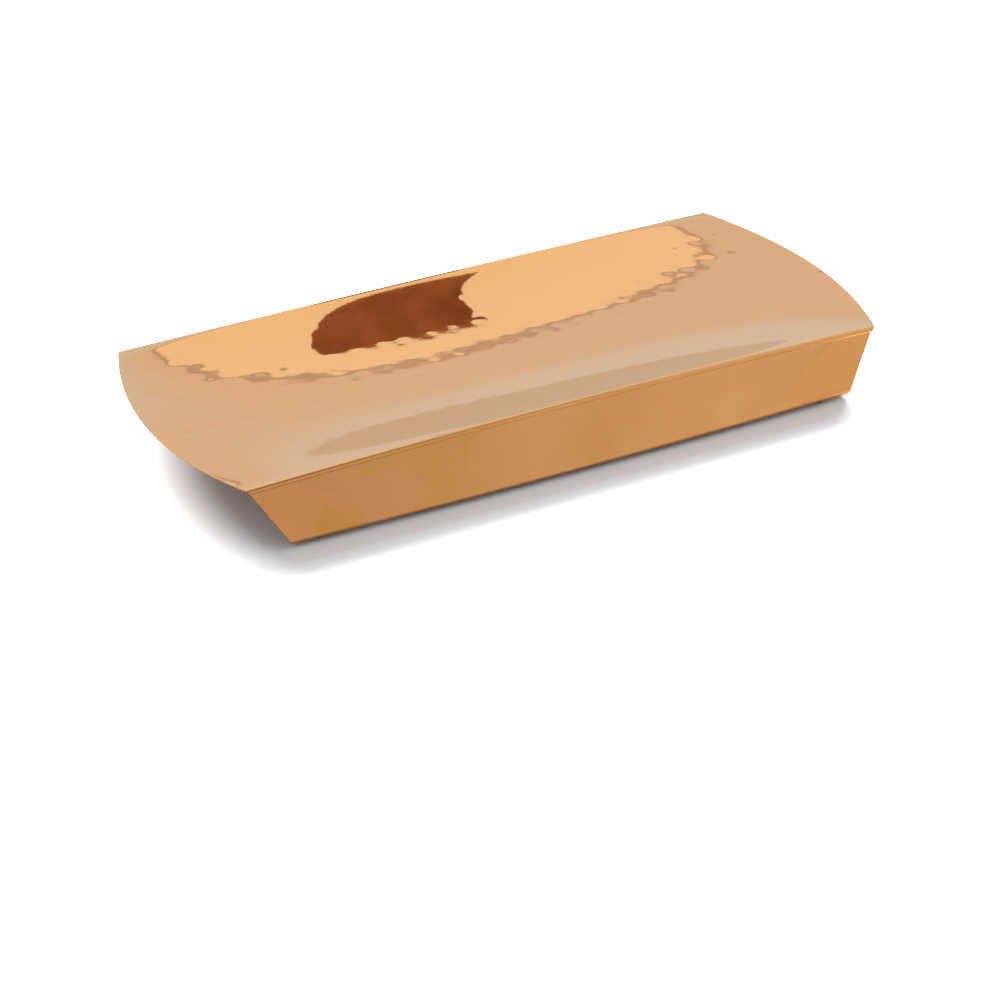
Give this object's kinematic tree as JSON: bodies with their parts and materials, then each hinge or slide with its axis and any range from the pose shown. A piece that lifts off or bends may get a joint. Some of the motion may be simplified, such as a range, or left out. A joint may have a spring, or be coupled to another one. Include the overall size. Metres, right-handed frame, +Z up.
{
  "type": "raised serving tray",
  "caption": "Low raised serving tray: a long polished copper plate with bowed ends and a shallow beaten hollow, on two splayed side sheets with small rubber feet.",
  "frame": {"origin": "on the table, under the middle of the tray, which is the bottom centre of its box", "axes": "+X along the tray's length, +Z up, -Y towards the front"},
  "size_m": [0.548, 0.2772, 0.0512],
  "materials": {
    "polished_copper": "mirror-polished copper with a golden cast and faint hammer dents, lacquered",
    "apron_copper": "polished copper, slightly less even than the plate, with faint dents and pale tarnish clouds",
    "solder": "dull grey tin solder, wiped by hand",
    "foot_rubber": "matte black rubber"
  },
  "bodies": {
    "root": {"top_plate": "polished_copper", "front_apron": "apron_copper", "rear_apron": "apron_copper", "front_solder_bead": "solder", "rear_solder_bead": "solder", "front_left_foot": "foot_rubber", "front_right_foot": "foot_rubber", "rear_left_foot": "foot_rubber", "rear_right_foot": "foot_rubber"}
  },
  "joints": []
}
